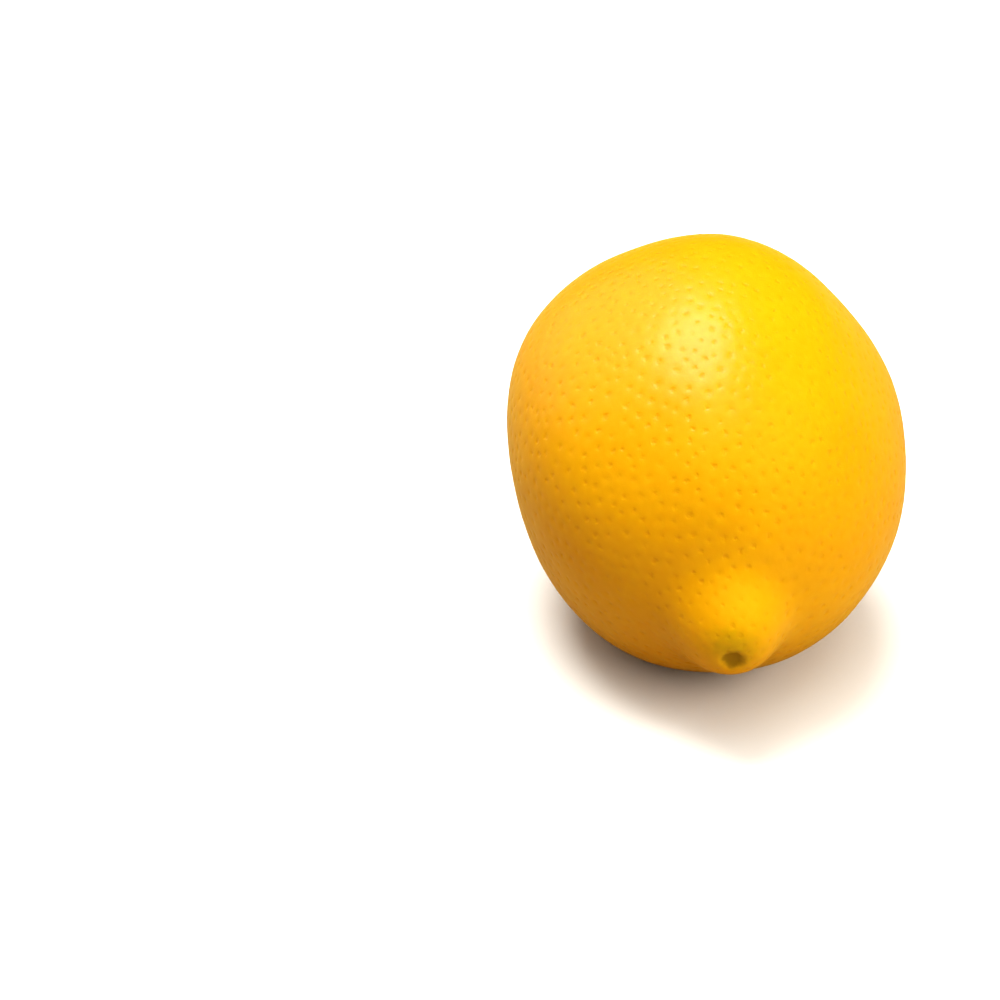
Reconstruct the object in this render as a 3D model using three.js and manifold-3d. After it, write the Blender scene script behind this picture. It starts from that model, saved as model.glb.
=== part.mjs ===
// A whole lemon, as picked: the fruit with its nipple and style scar, and the clipped stem button.
// Millimetres, +Z up. It lies on a small flat that is centred on the origin, with its nipple
// toward -Y and its stem end toward +Y.

import * as THREE from "three";
import { mergeVertices } from "three/addons/utils/BufferGeometryUtils.js";
import Module from "manifold-3d";

const wasm = await Module();
wasm.setup();

// Body: two rounded halves that meet at the widest ring
const EQUATOR_RADIUS = 31;
const BLOSSOM_HALF = { length: 39.8, fullness: 2.15 };
const STEM_HALF = { length: 33, fullness: 2.2 };

// Rises on the ends: the nipple stands on the axis, and the collar is a low ring round the stem
const NIPPLE = { ring: 0, height: 6, spread: 8, bluntness: 3.6 };
const COLLAR = { ring: 7.8, height: 1.3, spread: 4.4, bluntness: 2 };
const NIPPLE_REACH = BLOSSOM_HALF.length + NIPPLE.height;
const NIPPLE_SWAY = 2.6;

// Flat-floored hollows on the axis: the style scar in the nipple, and the seat of the stem button
const STYLE_SCAR = { floor: NIPPLE_REACH - 0.7, floorRadius: 0.8, rimRadius: 2.3 };
const BUTTON_SEAT = { floor: STEM_HALF.length - 0.8, floorRadius: 5.3, rimRadius: 6.8 };

// The skin is not quite round: shares of the equator radius, with a high side at each turn in degrees
const LOBES = [
  { count: 2, size: 0.015, turn: 130 },
  { count: 3, size: 0.01, turn: 100 },
  { count: 4, size: 0.015, turn: 20 },
  { count: 5, size: 0.015, turn: 10 },
];

// How it lies: the heavier blossom end tips down, and the rind flattens where it rests
const TILT_DEGREES = 15;
const FLAT_DEPTH = 0.6;

// Stem button: the dried calyx with the clipped stub of the stem standing on it
const BUTTON = {
  calyxRadius: 4.3,
  calyxThickness: 1.5,
  sepals: 5,
  sepalSize: 0.13,
  shoulderRadius: 3.1,
  stubRadius: 1.7,
  stubHeight: 1.6,
  edgeRound: 0.4,
};
const CLEARANCE = 0.3;

// Facets
const AROUND_FRUIT = 60;
const AROUND_BUTTON = 30;
const RINGS_PER_END = 22;
const CROWDING = 1.35;
const CURVE_DIVISIONS = 3;
const FLAT_TOLERANCE = 0.001;

const RIND = new THREE.MeshStandardMaterial({ color: 0xf9c317, roughness: 0.42, metalness: 0 });
const CALYX = new THREE.MeshStandardMaterial({ color: 0x6d6438, roughness: 0.85, metalness: 0 });

const smoothstep = (low, high, x) => THREE.MathUtils.smoothstep(x, low, high);

// How far out along the axis the skin stands at a radius, from the widest ring
function skinDistance(half, rise, hollow, radius) {
  const share = Math.min(radius / EQUATOR_RADIUS, 1);
  const dome = half.length * (1 - share ** 2) ** (1 / half.fullness);
  const off = Math.abs(radius - rise.ring) / rise.spread;
  const skin = dome + rise.height * Math.exp(-(off ** rise.bluntness));
  return THREE.MathUtils.lerp(hollow.floor, skin, smoothstep(hollow.floorRadius, hollow.rimRadius, radius));
}

// One end of the outline, from its pole to the widest ring, with rings closer together near the pole
function endOutline(half, rise, hollow) {
  const outline = [];
  for (let i = 0; i <= RINGS_PER_END; i += 1) {
    const radius = EQUATOR_RADIUS * Math.sin((Math.PI / 2) * (i / RINGS_PER_END) ** CROWDING);
    outline.push(new THREE.Vector2(radius, skinDistance(half, rise, hollow, radius)));
  }
  return outline;
}

function fruitOutline() {
  const blossom = endOutline(BLOSSOM_HALF, NIPPLE, STYLE_SCAR);
  const stem = endOutline(STEM_HALF, COLLAR, BUTTON_SEAT).reverse().slice(1);
  return [...blossom.map((ring) => new THREE.Vector2(ring.x, -ring.y)), ...stem];
}

// Gives a round body its lobes, and sways its nipple to one side
function shapeSkin(geometry) {
  const place = geometry.attributes.position;
  for (let i = 0; i < place.count; i += 1) {
    const radius = Math.hypot(place.getX(i), place.getZ(i));
    const angle = Math.atan2(place.getX(i), place.getZ(i));
    let swell = 0;
    for (const lobe of LOBES) {
      const turn = THREE.MathUtils.degToRad(lobe.turn);
      swell += lobe.size * Math.cos(lobe.count * (angle - turn));
    }
    const grown = radius * (1 + swell * (radius / EQUATOR_RADIUS));
    const sway = NIPPLE_SWAY * Math.max(-place.getY(i) / NIPPLE_REACH, 0) ** 2;
    place.setX(i, grown * Math.sin(angle) + sway);
    place.setZ(i, grown * Math.cos(angle));
  }
  return geometry;
}

function toSolid(geometry) {
  const bare = geometry.clone();
  bare.deleteAttribute("normal");
  bare.deleteAttribute("uv");
  const merged = mergeVertices(bare);
  return new wasm.Manifold(new wasm.Mesh({
    numProp: 3,
    vertProperties: new Float32Array(merged.attributes.position.array),
    triVerts: new Uint32Array(merged.index.array),
  }));
}

function toGeometry(solid) {
  const mesh = solid.getMesh();
  const geometry = new THREE.BufferGeometry();
  geometry.setAttribute("position", new THREE.BufferAttribute(mesh.vertProperties, 3));
  geometry.setIndex(new THREE.BufferAttribute(mesh.triVerts, 1));
  geometry.computeVertexNormals();
  return geometry;
}

// Cuts away everything below z = 0
function flatten(geometry) {
  const size = 4 * NIPPLE_REACH;
  const below = new THREE.BoxGeometry(size, size, size).translate(0, 0, -size / 2);
  return toGeometry(toSolid(geometry).subtract(toSolid(below)));
}

// Middle of the flat that a geometry rests on
function flatCentre(geometry) {
  const flat = new THREE.Box3();
  const point = new THREE.Vector3();
  const place = geometry.attributes.position;
  for (let i = 0; i < place.count; i += 1) {
    point.fromBufferAttribute(place, i);
    if (Math.abs(point.z) < FLAT_TOLERANCE) flat.expandByPoint(point);
  }
  return flat.getCenter(new THREE.Vector3());
}

// Calyx and stub turned about the stem axis, then the calyx rim drawn out into sepals
function buttonGeometry() {
  const { calyxRadius, calyxThickness, shoulderRadius, stubRadius, stubHeight, edgeRound } = BUTTON;
  const top = calyxThickness + stubHeight;
  const outline = new THREE.Path();
  outline.moveTo(0, 0);
  outline.lineTo(calyxRadius - edgeRound, 0);
  outline.absarc(calyxRadius - edgeRound, edgeRound, edgeRound, -Math.PI / 2, 0);
  outline.quadraticCurveTo(calyxRadius, calyxThickness, shoulderRadius, calyxThickness);
  outline.quadraticCurveTo(stubRadius, calyxThickness, stubRadius, calyxThickness + stubHeight / 2);
  outline.lineTo(stubRadius, top - edgeRound);
  outline.absarc(stubRadius - edgeRound, top - edgeRound, edgeRound, 0, Math.PI / 2);
  outline.lineTo(0, top);
  const geometry = new THREE.LatheGeometry(outline.getPoints(CURVE_DIVISIONS), AROUND_BUTTON);
  const place = geometry.attributes.position;
  for (let i = 0; i < place.count; i += 1) {
    const radius = Math.hypot(place.getX(i), place.getZ(i));
    const angle = Math.atan2(place.getX(i), place.getZ(i));
    const rim = smoothstep(stubRadius, calyxRadius, radius);
    const grown = 1 + BUTTON.sepalSize * rim * Math.cos(BUTTON.sepals * angle);
    place.setX(i, place.getX(i) * grown);
    place.setZ(i, place.getZ(i) * grown);
  }
  return geometry;
}

// The fruit, tipped as it lies and lowered until the flat has its depth
const tilt = THREE.MathUtils.degToRad(TILT_DEGREES);
const skin = shapeSkin(new THREE.LatheGeometry(fruitOutline(), AROUND_FRUIT)).rotateX(tilt);
skin.computeBoundingBox();
const drop = -FLAT_DEPTH - skin.boundingBox.min.z;
const fruitGeometry = flatten(skin.translate(0, 0, drop));
const centre = flatCentre(fruitGeometry);

const fruit = new THREE.Mesh(fruitGeometry, RIND);
fruit.name = "fruit";
fruit.position.set(-centre.x, -centre.y, 0);

// The button, in its seat at the stem end of the tipped axis
const button = new THREE.Mesh(buttonGeometry(), CALYX);
button.name = "stem_button";
button.position.y = BUTTON_SEAT.floor + CLEARANCE;

const axis = new THREE.Group();
axis.rotation.x = tilt;
axis.position.set(-centre.x, -centre.y, drop);
axis.add(button);

const lemon = new THREE.Group();
lemon.name = "lemon";
lemon.add(fruit, axis);

export default lemon;
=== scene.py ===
# A whole lemon lying on its side: pitted waxy rind over the fruit, and the dried stem button in its seat.
# The fruit is worked out in millimetres along its own axis, then tipped, rested and scaled to metres.

import math
import random

import bmesh
import bpy
from mathutils import Matrix, Vector, kdtree, noise


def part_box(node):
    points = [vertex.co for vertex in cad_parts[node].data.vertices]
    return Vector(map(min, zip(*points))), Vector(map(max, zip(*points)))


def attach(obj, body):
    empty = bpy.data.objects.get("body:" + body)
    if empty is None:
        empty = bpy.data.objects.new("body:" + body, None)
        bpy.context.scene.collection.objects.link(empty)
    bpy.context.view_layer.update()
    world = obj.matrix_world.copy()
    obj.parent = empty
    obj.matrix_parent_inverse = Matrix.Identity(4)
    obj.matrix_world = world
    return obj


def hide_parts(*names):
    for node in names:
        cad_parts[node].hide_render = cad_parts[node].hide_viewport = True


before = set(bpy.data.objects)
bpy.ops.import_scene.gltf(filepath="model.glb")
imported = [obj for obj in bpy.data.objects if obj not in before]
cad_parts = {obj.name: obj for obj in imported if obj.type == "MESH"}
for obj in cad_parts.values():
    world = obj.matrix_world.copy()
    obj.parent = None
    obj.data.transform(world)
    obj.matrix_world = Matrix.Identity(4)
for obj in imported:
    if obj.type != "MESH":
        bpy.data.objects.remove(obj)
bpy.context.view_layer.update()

MM = 0.001

# Fruit, as the frame has it
EQUATOR_RADIUS = 31
BLOSSOM_HALF = {"length": 39.8, "fullness": 2.15}
STEM_HALF = {"length": 33, "fullness": 2.2}
NIPPLE = {"ring": 0, "height": 6, "spread": 8, "bluntness": 3.6}
COLLAR = {"ring": 7.8, "height": 1.3, "spread": 4.4, "bluntness": 2}
NIPPLE_REACH = BLOSSOM_HALF["length"] + NIPPLE["height"]
NIPPLE_SWAY = 2.6
STYLE_SCAR = {"floor": NIPPLE_REACH - 0.7, "floor_radius": 0.8, "rim_radius": 2.3}
BUTTON_SEAT = {"floor": STEM_HALF["length"] - 0.8, "floor_radius": 5.3, "rim_radius": 6.8}
LOBES = [(2, 0.015, 130), (3, 0.01, 100), (4, 0.015, 20), (5, 0.015, 10)]
TILT = math.radians(15)
FLAT_DEPTH = 0.6
FLAT_EDGE = 0.2

# Fine shape of the rind
GRID_CUTS = 128
UNEVENNESS = [(15, 0.2), (6, 0.06)]
FURROWS = {"count": 9, "depth": 0.35, "inner": 6.5, "crest": 9, "outer": 18}
GLAND_SPACING = (1.5, 2.3)
GLAND_REACH = 0.46
GLAND_DEPTH = 0.065

# Stem button
BUTTON_RADIUS = 4.3
BUTTON_GAP = 0.3
STUB_FOOT = 1.9
STUB_TOP = 2.96
UNDERSIDE = 0.2
SEPALS = 5
SPIN_STEPS = 120

# Studio, in metres
FLOOR_REACH = 20
FLOOR_DROP = 0.00005

SEED = 11

LEAN = Matrix.Rotation(TILT, 3, "X")


def smoothstep(low, high, value):
    share = min(max((value - low) / (high - low), 0), 1)
    return share * share * (3 - 2 * share)


def mix(a, b, share):
    return a + (b - a) * share


# ---------------------------------------------------------------- fruit shape


def skin_distance(half, rise, hollow, radius):
    """How far out along the axis the skin stands at a radius, from the widest ring."""
    share = min(radius / EQUATOR_RADIUS, 1)
    dome = half["length"] * (1 - share * share) ** (1 / half["fullness"])
    off = abs(radius - rise["ring"]) / rise["spread"]
    skin = dome + rise["height"] * math.exp(-(off ** rise["bluntness"]))
    return mix(hollow["floor"], skin, smoothstep(hollow["floor_radius"], hollow["rim_radius"], radius))


def skin_point(direction):
    """Takes a direction on the unit sphere to the fruit's skin, with the nipple toward -Y."""
    radius = EQUATOR_RADIUS * math.hypot(direction.x, direction.z)
    angle = math.atan2(direction.x, direction.z)
    if direction.y < 0:
        along = -skin_distance(BLOSSOM_HALF, NIPPLE, STYLE_SCAR, radius)
    else:
        along = skin_distance(STEM_HALF, COLLAR, BUTTON_SEAT, radius)
    swell = sum(size * math.cos(count * (angle - math.radians(turn))) for count, size, turn in LOBES)
    grown = radius * (1 + swell * radius / EQUATOR_RADIUS)
    sway = NIPPLE_SWAY * max(-along / NIPPLE_REACH, 0) ** 2
    return Vector((grown * math.sin(angle) + sway, along, grown * math.cos(angle)))


def sphere_grid(cuts):
    """A cube divided into an even grid and blown up to a unit sphere, with no poles."""
    bm = bmesh.new()
    bmesh.ops.create_cube(bm, size=2)
    bmesh.ops.subdivide_edges(bm, edges=bm.edges[:], cuts=cuts, use_grid_fill=True)
    for vert in bm.verts:
        even = Vector(math.tan(value * math.pi / 4) for value in vert.co)
        vert.co = even.normalized()
    return bm


def furrow_depth(point):
    """Shallow creases that run out from the collar toward the widest ring."""
    if point.y < 0:
        return 0
    radius = math.hypot(point.x, point.z)
    window = smoothstep(FURROWS["inner"], FURROWS["crest"], radius)
    window *= 1 - smoothstep(FURROWS["crest"], FURROWS["outer"], radius)
    angle = math.atan2(point.x, point.z)
    wander = 1.4 * noise.noise(Vector((math.sin(angle), math.cos(angle), radius / 12)) * 1.7)
    crease = 0.5 + 0.5 * math.cos(FURROWS["count"] * angle + 2.5 * wander)
    return FURROWS["depth"] * window * crease ** 2


def place_glands(bm):
    """Scatters oil glands over the skin, none closer to another than its own spacing."""
    draw = random.Random(SEED)
    tree = kdtree.KDTree(len(bm.verts))
    for vert in bm.verts:
        tree.insert(vert.co, vert.index)
    tree.balance()
    order = list(range(len(bm.verts)))
    draw.shuffle(order)
    taken = bytearray(len(bm.verts))
    verts = bm.verts[:]
    glands = []
    for index in order:
        spot = verts[index].co
        radius = math.hypot(spot.x, spot.z)
        in_scar = spot.y < 0 and radius < STYLE_SCAR["rim_radius"]
        in_seat = spot.y > 0 and radius < BUTTON_SEAT["rim_radius"]
        spacing = draw.uniform(*GLAND_SPACING) * mix(0.72, 1, smoothstep(3, 14, radius))
        if taken[index] or in_scar or in_seat:
            continue
        glands.append((spot.copy(), spacing * GLAND_REACH))
        for _, near, _ in tree.find_range(spot, spacing):
            taken[near] = 1
    return glands


def rest_on_flat(point, drop):
    """Lowers a point of the tipped fruit, and presses what would sink below the flat up to it."""
    height = point.z + drop
    share = min(max(0.5 + height / (2 * FLAT_EDGE), 0), 1)
    return Vector((point.x, point.y, height * share + FLAT_EDGE * share * (1 - share)))


def build_fruit():
    bm = sphere_grid(GRID_CUTS)
    for vert in bm.verts:
        vert.co = skin_point(vert.co)
    tipped = [LEAN @ vert.co for vert in bm.verts]
    drop = -FLAT_DEPTH - min(point.z for point in tipped)
    low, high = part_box("fruit")
    middle = [(max(p[i] for p in tipped) + min(p[i] for p in tipped)) / 2 for i in (0, 1)]
    shift = Vector(((low.x + high.x) / 2 / MM - middle[0], (low.y + high.y) / 2 / MM - middle[1], drop))

    bm.normal_update()
    for vert in bm.verts:
        swell = sum(height * noise.noise(vert.co / size) for size, height in UNEVENNESS)
        vert.co += vert.normal * (swell - furrow_depth(vert.co))
    bm.verts.index_update()
    glands = place_glands(bm)
    tree = kdtree.KDTree(len(glands))
    for index, (spot, _) in enumerate(glands):
        tree.insert(spot, index)
    tree.balance()

    bm.normal_update()
    sunk = []
    for vert in bm.verts:
        _, index, distance = tree.find(vert.co)
        share = 1 - smoothstep(0, 1.25 * glands[index][1], distance)
        sunk.append(vert.normal * (-GLAND_DEPTH * share))
    owners = [tree.find(face.calc_center_median())[1] for face in bm.faces]
    seats = [LEAN @ spot for spot, _ in glands]
    for vert, move in zip(bm.verts, sunk):
        placed = LEAN @ (vert.co + move)
        vert.co = (rest_on_flat(placed, drop) + Vector((shift.x, shift.y, 0))) * MM

    mesh = bpy.data.meshes.new("fruit_skin")
    bm.to_mesh(mesh)
    bm.free()
    places = [(seat + shift) * MM for seat in seats]
    centre = mesh.attributes.new("gland_centre", "FLOAT_VECTOR", "FACE")
    centre.data.foreach_set("vector", [value for owner in owners for value in places[owner]])
    size = mesh.attributes.new("gland_size", "FLOAT", "FACE")
    size.data.foreach_set("value", [glands[owner][1] * MM for owner in owners])
    return add_piece("fruit_skin", mesh), shift


def add_piece(name, mesh):
    for polygon in mesh.polygons:
        polygon.use_smooth = True
    piece = bpy.data.objects.new(name, mesh)
    bpy.context.scene.collection.objects.link(piece)
    return piece


# ---------------------------------------------------------------- stem button


def build_button(shift):
    """The calyx and stub, spun from their outline, then the rim drawn out into ragged sepals."""
    outline = [(0, 0), (2, 0), (3.6, 0.02), (4.15, 0.12), (4.3, 0.35), (4.25, 0.6), (3.9, 0.8), (3.3, 0.95),
               (2.7, 1.15), (2.2, 1.45), (1.95, 1.6), (1.72, 1.7), (1.62, 1.9), (1.6, 2.3), (1.62, 2.7),
               (1.6, 2.95), (1.45, 3.06), (1.0, 3.02), (0.5, 2.98), (0, STUB_TOP)]
    bm = bmesh.new()
    verts = [bm.verts.new((radius, height, 0)) for radius, height in outline]
    edges = [bm.edges.new(pair) for pair in zip(verts, verts[1:])]
    bmesh.ops.subdivide_edges(bm, edges=edges, cuts=2)
    bmesh.ops.spin(bm, geom=bm.verts[:] + bm.edges[:], cent=(0, 0, 0), axis=(0, 1, 0),
                   angle=2 * math.pi, steps=SPIN_STEPS, use_merge=True)
    bmesh.ops.remove_doubles(bm, verts=bm.verts[:], dist=0.001)
    bmesh.ops.recalc_face_normals(bm, faces=bm.faces[:])
    for vert in bm.verts:
        radius = math.hypot(vert.co.x, vert.co.z)
        angle = math.atan2(vert.co.x, vert.co.z)
        rim = smoothstep(STUB_FOOT, BUTTON_RADIUS, radius)
        point = math.cos(SEPALS * angle)
        ragged = noise.noise(Vector((math.sin(angle), math.cos(angle), 0)) * 6) * 0.04
        grown = 1 + rim * (0.13 * point - 0.01 + ragged)
        lift = rim * (0.12 * point + 0.1 * noise.noise(vert.co * 0.9)) * (vert.co.y > UNDERSIDE)
        grain = 0.05 * noise.noise(Vector((math.sin(angle) * 9, vert.co.y, math.cos(angle) * 9)))
        vert.co = Vector((vert.co.x * grown, vert.co.y + lift, vert.co.z * grown))
        if vert.co.y > UNDERSIDE:
            vert.co += vert.co.normalized() * grain
    for vert in bm.verts:
        seated = vert.co + Vector((0, BUTTON_SEAT["floor"] + BUTTON_GAP, 0))
        vert.co = (LEAN @ seated + shift) * MM
    mesh = bpy.data.meshes.new("calyx_and_stub")
    bm.to_mesh(mesh)
    bm.free()
    return add_piece("calyx_and_stub", mesh)


# ---------------------------------------------------------------- materials


def node(tree, kind, x, y, **values):
    made = tree.nodes.new("ShaderNode" + kind)
    made.location = (x, y)
    for name, value in values.items():
        setattr(made, name, value)
    return made


def feed(tree, made, **inputs):
    """Sets or links a node's inputs by name; spaces in a name are written as underscores."""
    for name, value in inputs.items():
        socket = made.inputs[int(name[1:])] if name[1:].isdigit() else made.inputs[name.replace("_", " ")]
        if isinstance(value, bpy.types.NodeSocket):
            tree.links.new(value, socket)
        else:
            socket.default_value = value
    return made


def math_node(tree, operation, x, y, *values):
    made = node(tree, "Math", x, y, operation=operation)
    for index, value in enumerate(values):
        feed(tree, made, **{f"_{index}": value})
    return made.outputs[0]


def blend_colours(tree, x, y, share, first, second):
    made = node(tree, "Mix", x, y, data_type="RGBA", blend_type="MIX")
    feed(tree, made, _0=share, _6=first, _7=second)
    return made.outputs[2]


def stain(tree, x, colour, mask, amount, tint):
    """Lays a tint over a colour, as strongly as its mask and its amount say."""
    share = math_node(tree, "MULTIPLY", x - 180, 100, mask, amount)
    return blend_colours(tree, x, 300, share, colour, tint)


def map_range(tree, x, y, value, low, high, to_low=0.0, to_high=1.0):
    made = node(tree, "MapRange", x, y, interpolation_type="SMOOTHSTEP")
    feed(tree, made, Value=value, From_Min=low, From_Max=high, To_Min=to_low, To_Max=to_high)
    return made.outputs[0]


def mottle_group():
    """Soft natural patchiness: a noise mask between a low and a high threshold."""
    tree = bpy.data.node_groups.new("Mottle", "ShaderNodeTree")
    socket = tree.interface.new_socket
    socket("Vector", in_out="INPUT", socket_type="NodeSocketVector")
    socket("Scale", in_out="INPUT", socket_type="NodeSocketFloat")
    socket("Detail", in_out="INPUT", socket_type="NodeSocketFloat")
    socket("Low", in_out="INPUT", socket_type="NodeSocketFloat")
    socket("High", in_out="INPUT", socket_type="NodeSocketFloat")
    socket("Mask", in_out="OUTPUT", socket_type="NodeSocketFloat")
    entry = tree.nodes.new("NodeGroupInput")
    entry.location = (-200, 0)
    given = entry.outputs
    patches = noise_texture(tree, 0, 0, given["Vector"], given["Scale"], given["Detail"])[0]
    mask = map_range(tree, 200, 0, patches, given["Low"], given["High"])
    leave = tree.nodes.new("NodeGroupOutput")
    leave.location = (400, 0)
    tree.links.new(mask, leave.inputs["Mask"])
    return tree


def mottle(tree, group, x, y, vector, scale, detail, low, high):
    made = tree.nodes.new("ShaderNodeGroup")
    made.node_tree = group
    made.location = (x, y)
    feed(tree, made, Vector=vector, Scale=scale, Detail=detail, Low=low, High=high)
    return made.outputs["Mask"]


def new_material(name, viewport):
    material = bpy.data.materials.new(name)
    material.use_nodes = True
    material.diffuse_color = (*viewport, 1)
    tree = material.node_tree
    return material, tree, tree.nodes["Principled BSDF"]


def noise_texture(tree, x, y, vector, scale, detail):
    return feed(tree, node(tree, "TexNoise", x, y), Vector=vector, Scale=scale, Detail=detail).outputs


def ring_mask(tree, place, spot, x, y, inner, outer, wobble):
    """Fades from full inside one distance from a spot to nothing at another, with a ragged edge."""
    span = node(tree, "VectorMath", x, y, operation="DISTANCE")
    feed(tree, span, _0=place, _1=spot)
    rough = noise_texture(tree, x, y - 180, place, 700.0, 3.0)[0]
    edge = math_node(tree, "MULTIPLY_ADD", x + 180, y, rough, wobble, -wobble / 2)
    total = math_node(tree, "ADD", x + 360, y, span.outputs["Value"], edge)
    return map_range(tree, x + 540, y, total, inner, outer, 1.0, 0.0)


def rind_material(group, tip, stem):
    """Waxed yellow rind: oil glands, soft patches, a green tinge at both ends, the brown style scar."""
    material, tree, shader = new_material("waxed lemon rind", (0.9, 0.55, 0.02))
    place = node(tree, "TexCoord", -1800, 0).outputs["Object"]
    centre = node(tree, "Attribute", -1800, -300, attribute_name="gland_centre").outputs["Vector"]
    size = node(tree, "Attribute", -1800, -500, attribute_name="gland_size").outputs["Fac"]

    stir = noise_texture(tree, -2200, -100, place, 900.0, 2.0)
    nudge = node(tree, "VectorMath", -2000, -100, operation="MULTIPLY_ADD")
    feed(tree, nudge, _0=stir["Color"], _1=(0.0009, 0.0009, 0.0009), _2=(-0.00045, -0.00045, -0.00045))
    ragged = node(tree, "VectorMath", -1800, -100, operation="ADD")
    feed(tree, ragged, _0=place, _1=nudge.outputs[0])
    away = node(tree, "VectorMath", -1600, -300, operation="DISTANCE")
    feed(tree, away, _0=ragged.outputs[0], _1=centre)
    gland = math_node(tree, "DIVIDE", -1400, -300, away.outputs["Value"], size)
    pit = map_range(tree, -1200, -300, gland, 0.0, 0.7, 1.0, 0.0)
    uneven = noise_texture(tree, -1400, -500, place, 260.0, 2.0)[0]
    depth = map_range(tree, -1200, -500, uneven, 0.35, 0.65, 0.25, 1.0)
    pore = math_node(tree, "MULTIPLY", -1000, -300, pit, depth)

    patches = mottle(tree, group, -1200, 300, place, 45.0, 2.0, 0.3, 0.7)
    flecks = mottle(tree, group, -1200, 100, place, 900.0, 2.0, 0.4, 0.7)

    halo = tip + Vector((0, 0.0004, 0.0018))
    tip_green = ring_mask(tree, place, halo, -1800, 900, 0.001, 0.0058, 0.003)
    scar = ring_mask(tree, place, tip, -1800, 1300, 0.0009, 0.0023, 0.0022)
    stem_green = ring_mask(tree, place, stem, -1800, 1700, 0.004, 0.016, 0.004)

    colour = blend_colours(tree, -900, 300, patches, (0.62, 0.31, 0.003, 1), (0.65, 0.345, 0.004, 1))
    colour = stain(tree, -720, colour, pore, 0.27, (0.52, 0.22, 0.002, 1))
    colour = stain(tree, -540, colour, flecks, 0.12, (0.74, 0.42, 0.02, 1))
    colour = stain(tree, -360, colour, tip_green, 0.5, (0.36, 0.30, 0.004, 1))
    colour = stain(tree, -180, colour, stem_green, 0.5, (0.36, 0.33, 0.015, 1))
    colour = stain(tree, 0, colour, scar, 0.95, (0.3, 0.17, 0.006, 1))

    rough = map_range(tree, -540, -100, pore, 0.0, 1.0, 0.36, 0.5)
    rough = math_node(tree, "ADD", -180, -100, rough, math_node(tree, "MULTIPLY", -360, -200, scar, 0.3))

    fine = noise_texture(tree, -900, -600, place, 1500.0, 3.0)[0]
    sunk = math_node(tree, "MULTIPLY_ADD", -540, -400, pore, -1.0, 1.0)
    grain = math_node(tree, "MULTIPLY", -540, -600, fine, 0.25)
    height = math_node(tree, "ADD", -360, -400, sunk, grain)
    bump = node(tree, "Bump", -180, -400)
    feed(tree, bump, Strength=1.0, Distance=0.00006, Height=height)

    feed(tree, shader, Base_Color=colour, Roughness=rough, Normal=bump.outputs[0], IOR=1.45,
         Subsurface_Weight=0.25, Subsurface_Radius=(1.0, 0.45, 0.1), Subsurface_Scale=0.0025,
         Specular_IOR_Level=0.36)
    return material


def calyx_material(group, cut_end):
    """Dried calyx: olive-brown and fibrous, with the pale cut face of the stub."""
    material, tree, shader = new_material("dried calyx", (0.15, 0.11, 0.04))
    place = node(tree, "TexCoord", -1200, 0).outputs["Object"]
    patches = mottle(tree, group, -900, 200, place, 320.0, 4.0, 0.35, 0.65)
    fibres = mottle(tree, group, -900, 0, place, 2200.0, 5.0, 0.3, 0.7)
    colour = blend_colours(tree, -600, 200, patches, (0.13, 0.085, 0.03, 1), (0.17, 0.16, 0.04, 1))
    colour = stain(tree, -400, colour, fibres, 0.5, (0.36, 0.27, 0.12, 1))
    span = node(tree, "VectorMath", -900, -300, operation="DISTANCE")
    feed(tree, span, _0=place, _1=cut_end)
    face = map_range(tree, -600, -300, span.outputs["Value"], 0.0010, 0.0014, 1.0, 0.0)
    colour = stain(tree, -200, colour, face, 0.8, (0.45, 0.34, 0.17, 1))
    bump = node(tree, "Bump", -200, -300)
    feed(tree, bump, Strength=0.8, Distance=0.0001, Height=fibres)
    feed(tree, shader, Base_Color=colour, Roughness=0.82, Normal=bump.outputs[0], Specular_IOR_Level=0.3)
    return material


def floor_material():
    """White to look at, but it throws a dimmer and warmer light up under the fruit."""
    material, tree, shader = new_material("white sweep", (1, 1, 1))
    seen = node(tree, "LightPath", -600, 0).outputs["Is Camera Ray"]
    colour = blend_colours(tree, -300, 0, seen, (0.46, 0.37, 0.19, 1), (0.86, 0.85, 0.8, 1))
    feed(tree, shader, Base_Color=colour, Roughness=0.6, Specular_IOR_Level=0.2)
    return material


# ---------------------------------------------------------------- studio


def add_floor():
    """A wide pale floor, just under the fruit's flat."""
    bm = bmesh.new()
    bmesh.ops.create_grid(bm, x_segments=1, y_segments=1, size=FLOOR_REACH)
    bmesh.ops.translate(bm, verts=bm.verts[:], vec=(0, 0, -FLOOR_DROP))
    mesh = bpy.data.meshes.new("floor")
    bm.to_mesh(mesh)
    bm.free()
    floor = bpy.data.objects.new("floor", mesh)
    bpy.context.scene.collection.objects.link(floor)
    floor.data.materials.append(floor_material())


def add_softbox(name, direction, spread, strength, mirrored=False):
    """A large soft light far away, filling a round patch of sky; a mirrored one shows in the wax."""
    light = bpy.data.lights.new(name, "SUN")
    light.angle = math.radians(spread)
    light.energy = strength
    lamp = bpy.data.objects.new(name, light)
    toward = Vector(direction).normalized()
    lamp.location = toward
    lamp.rotation_mode = "QUATERNION"
    lamp.rotation_quaternion = toward.to_track_quat("Z", "Y")
    lamp.visible_glossy = mirrored
    bpy.context.scene.collection.objects.link(lamp)


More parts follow.
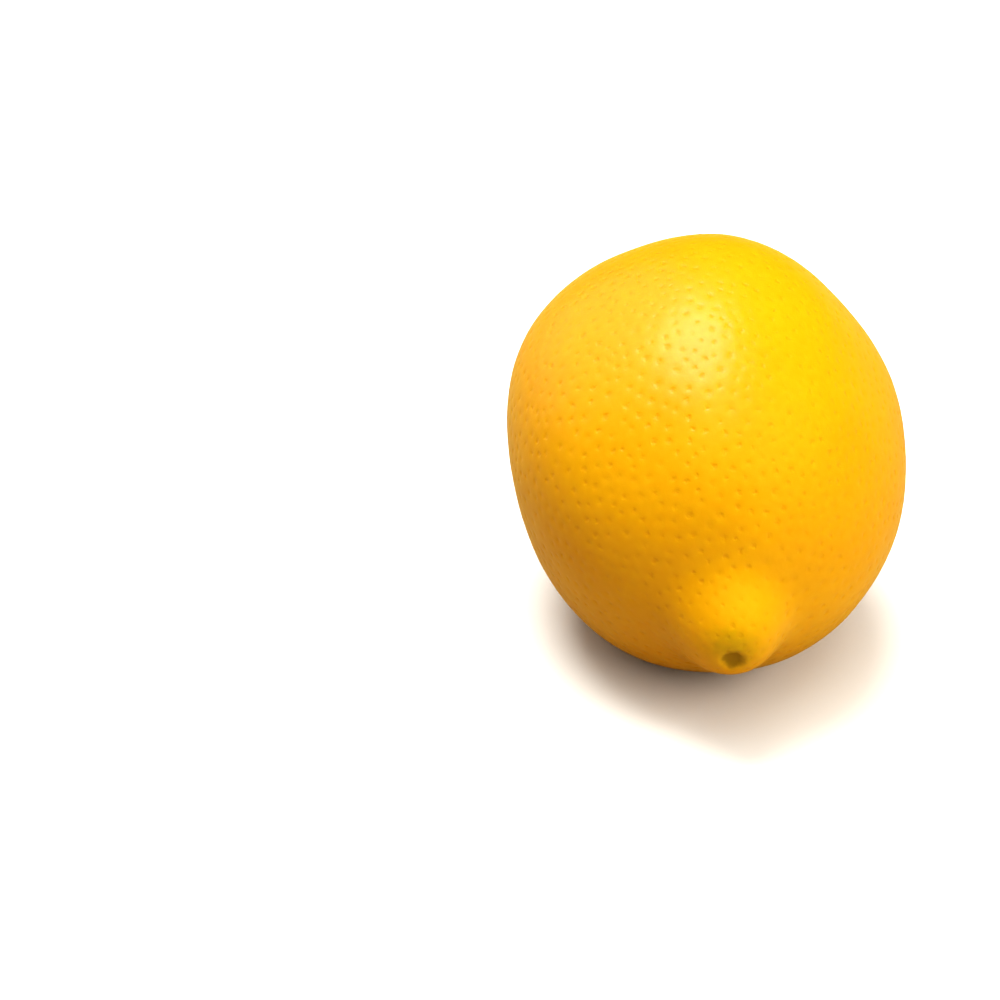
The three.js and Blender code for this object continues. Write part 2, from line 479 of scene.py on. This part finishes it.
def light_studio():
    """A key light and weaker, wider ones round it; the surroundings look white but light little."""
    world = bpy.data.worlds.new("studio")
    world.use_nodes = True
    tree = world.node_tree
    seen = tree.nodes.new("ShaderNodeLightPath").outputs["Is Camera Ray"]
    strength = map_range(tree, -300, 0, seen, 0.0, 1.0, 0.02, 1.0)
    feed(tree, tree.nodes["Background"], Color=(1, 1, 1, 1), Strength=strength)
    bpy.context.scene.world = world
    add_softbox("key softbox", (-0.18, 0.17, 0.97), 38, 2.4, mirrored=True)
    add_softbox("ceiling panel", (0, 0, 1), 59, 0.9)
    add_softbox("front softbox", (0.12, -0.6, 0.79), 59, 1.15)
    add_softbox("side fill", (0.85, -0.35, 0.38), 59, 1.85)
    add_softbox("back rim", (-0.65, 0.55, 0.52), 59, 0.7, mirrored=True)
    bpy.context.scene.view_settings.view_transform = "Standard"
    bpy.context.scene.view_settings.look = "High Contrast"


def add_camera(centre):
    """Stands the camera level, at the viewing angle, with the fruit to the right of the middle."""
    azimuth = math.radians(-4.5)
    elevation = math.radians(28.8)
    distance = 0.375
    yaw = math.radians(1.08)
    pitch = math.radians(30.35)
    level = Vector((math.sin(azimuth), -math.cos(azimuth), 0)) * math.cos(elevation)
    back = level + Vector((0, 0, math.sin(elevation)))
    camera = bpy.data.objects.new("camera", bpy.data.cameras.new("camera"))
    camera.data.lens = 85
    camera.data.sensor_width = 36
    camera.data.clip_start = 0.01
    camera.data.clip_end = 20
    camera.location = centre + back * distance
    camera.rotation_euler = (math.pi / 2 - pitch, 0, yaw)
    bpy.context.scene.collection.objects.link(camera)
    bpy.context.scene.camera = camera


# ---------------------------------------------------------------- assembly

fruit, shift = build_fruit()
button = build_button(shift)

tip = (LEAN @ Vector((NIPPLE_SWAY, -STYLE_SCAR["floor"], 0)) + shift) * MM
stem = (LEAN @ Vector((0, BUTTON_SEAT["floor"], 0)) + shift) * MM
cut_end = (LEAN @ Vector((0, BUTTON_SEAT["floor"] + BUTTON_GAP + STUB_TOP, 0)) + shift) * MM

group = mottle_group()
fruit.data.materials.append(rind_material(group, tip, stem))
button.data.materials.append(calyx_material(group, cut_end))
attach(fruit, "root")
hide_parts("fruit")
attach(button, "root")
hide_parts("stem_button")

add_floor()
light_studio()
add_camera(shift * MM)
